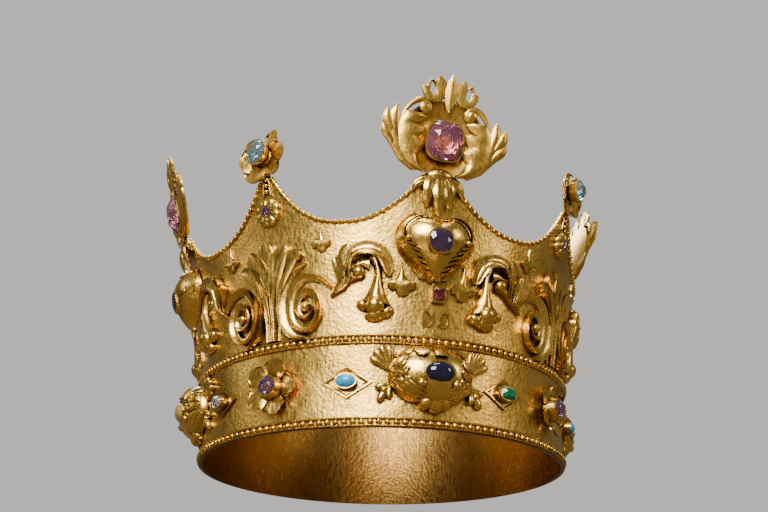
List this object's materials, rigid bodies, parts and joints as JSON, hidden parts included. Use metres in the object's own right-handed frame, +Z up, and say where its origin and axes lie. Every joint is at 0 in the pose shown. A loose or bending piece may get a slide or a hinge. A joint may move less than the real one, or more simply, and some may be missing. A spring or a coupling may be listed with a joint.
{
  "type": "ceremonial crown",
  "caption": "Open ceremonial crown of sheet gold with a scalloped beaded rim, jewelled leaf and flower finials, heart and oval cartouches and scrolling foliage.",
  "frame": {"origin": "centre of the foot circle, on the surface the crown stands on", "axes": "+Z up through the middle of the head opening, -Y towards a large point taken as the front, +X to the viewer's right"},
  "size_m": [0.2522, 0.2522, 0.1669],
  "materials": {
    "sheet_gold": "matte brushed gold with fine tool marks",
    "raised_gold": "satin to polished raised gold",
    "finial_gold": "satin gold",
    "beaded_gold": "satin beaded gold",
    "pink_stone": "polished faceted stone",
    "purple_stone": "polished faceted stone",
    "pale_blue_stone": "polished faceted stone",
    "garnet": "polished square stone",
    "dark_blue_stone": "polished cabochon",
    "yellow_stone": "polished cabochon",
    "turquoise": "polished opaque cabochon",
    "emerald": "polished faceted stone",
    "clear_stone": "polished faceted stone"
  },
  "bodies": {
    "root": {"crown_body": "sheet_gold", "rim_beading": "beaded_gold", "belt_beading": "beaded_gold", "foot_beading": "beaded_gold", "heart_cartouche_front": "raised_gold", "heart_stone_front": "purple_stone", "garnet_front": "garnet", "oval_cartouche_front": "raised_gold", "oval_stone_front": "dark_blue_stone", "calyx_front": "raised_gold", "large_finial_front": "finial_gold", "pink_stone_front": "pink_stone", "lozenge_stone_front_right": "emerald", "lozenge_stone_front_left": "turquoise", "heart_cartouche_right": "raised_gold", "heart_stone_right": "purple_stone", "garnet_right": "garnet", "oval_cartouche_right": "raised_gold", "oval_stone_right": "dark_blue_stone", "calyx_right": "raised_gold", "large_finial_right": "finial_gold", "pink_stone_right": "pink_stone", "lozenge_stone_right_right": "emerald", "lozenge_stone_right_left": "turquoise", "heart_cartouche_back": "raised_gold", "heart_stone_back": "purple_stone", "garnet_back": "garnet", "oval_cartouche_back": "raised_gold", "oval_stone_back": "dark_blue_stone", "calyx_back": "raised_gold", "large_finial_back": "finial_gold", "pink_stone_back": "pink_stone", "lozenge_stone_back_right": "emerald", "lozenge_stone_back_left": "turquoise", "heart_cartouche_left": "raised_gold", "heart_stone_left": "purple_stone", "garnet_left": "garnet", "oval_cartouche_left": "raised_gold", "oval_stone_left": "yellow_stone", "calyx_left": "raised_gold", "large_finial_left": "finial_gold", "pink_stone_left": "pink_stone", "lozenge_stone_left_right": "clear_stone", "lozenge_stone_left_left": "turquoise", "band_flower_front_right": "raised_gold", "band_stone_front_right": "purple_stone", "flower_finial_front_right": "finial_gold", "blue_stone_front_right": "pale_blue_stone", "band_flower_back_right": "raised_gold", "band_stone_back_right": "purple_stone", "flower_finial_back_right": "finial_gold", "blue_stone_back_right": "pale_blue_stone", "band_flower_back_left": "raised_gold", "band_stone_back_left": "purple_stone", "flower_finial_back_left": "finial_gold", "blue_stone_back_left": "pale_blue_stone", "band_flower_front_left": "raised_gold", "band_stone_front_left": "purple_stone", "flower_finial_front_left": "finial_gold", "blue_stone_front_left": "pale_blue_stone"}
  },
  "joints": []
}
